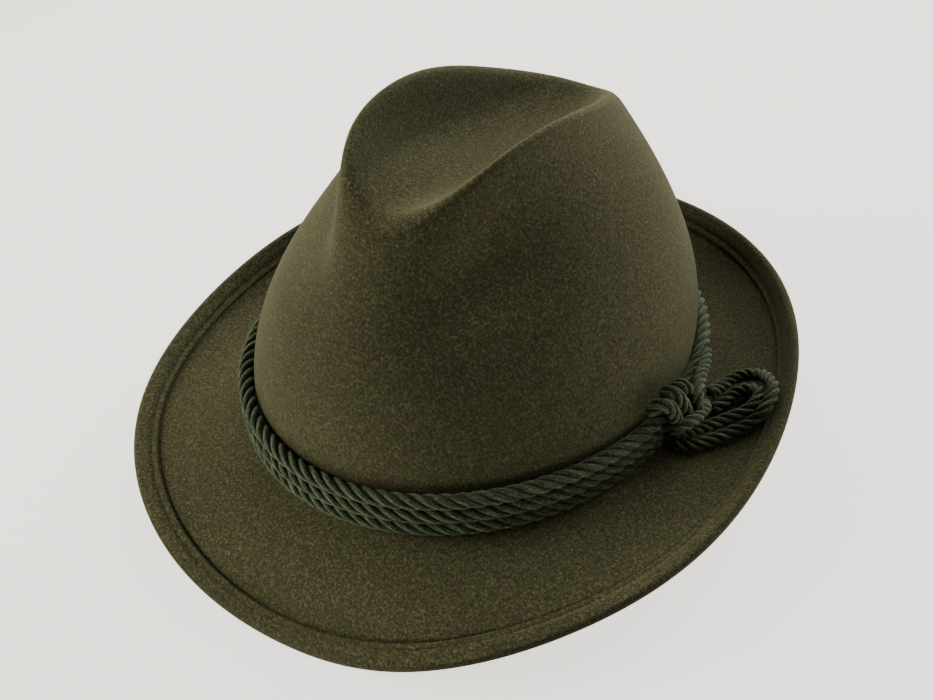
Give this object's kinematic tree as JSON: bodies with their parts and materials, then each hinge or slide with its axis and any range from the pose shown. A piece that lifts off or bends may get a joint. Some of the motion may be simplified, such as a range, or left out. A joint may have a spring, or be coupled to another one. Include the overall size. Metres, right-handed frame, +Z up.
{
  "type": "felt hat",
  "caption": "Olive-brown felt hat with a teardrop crown, a snapped brim with a folded and stitched edge, and rounds of dark green twisted cord tied in a knot.",
  "frame": {"origin": "on the surface the hat rests on, under the middle of the brim's length and width", "axes": "+Z up, -Y towards the front of the hat, +X towards the wearer's left, where the knot is"},
  "size_m": [0.2708, 0.2968, 0.1553],
  "materials": {
    "felt": "matte brushed wool felt, olive brown melange",
    "cord": "matte twisted cotton cord, dark green"
  },
  "bodies": {
    "root": {"felt_body": "felt", "cord_lower": "cord", "cord_middle": "cord", "cord_upper": "cord", "knot": "cord", "loop_outer": "cord", "loop_inner": "cord"}
  },
  "joints": []
}
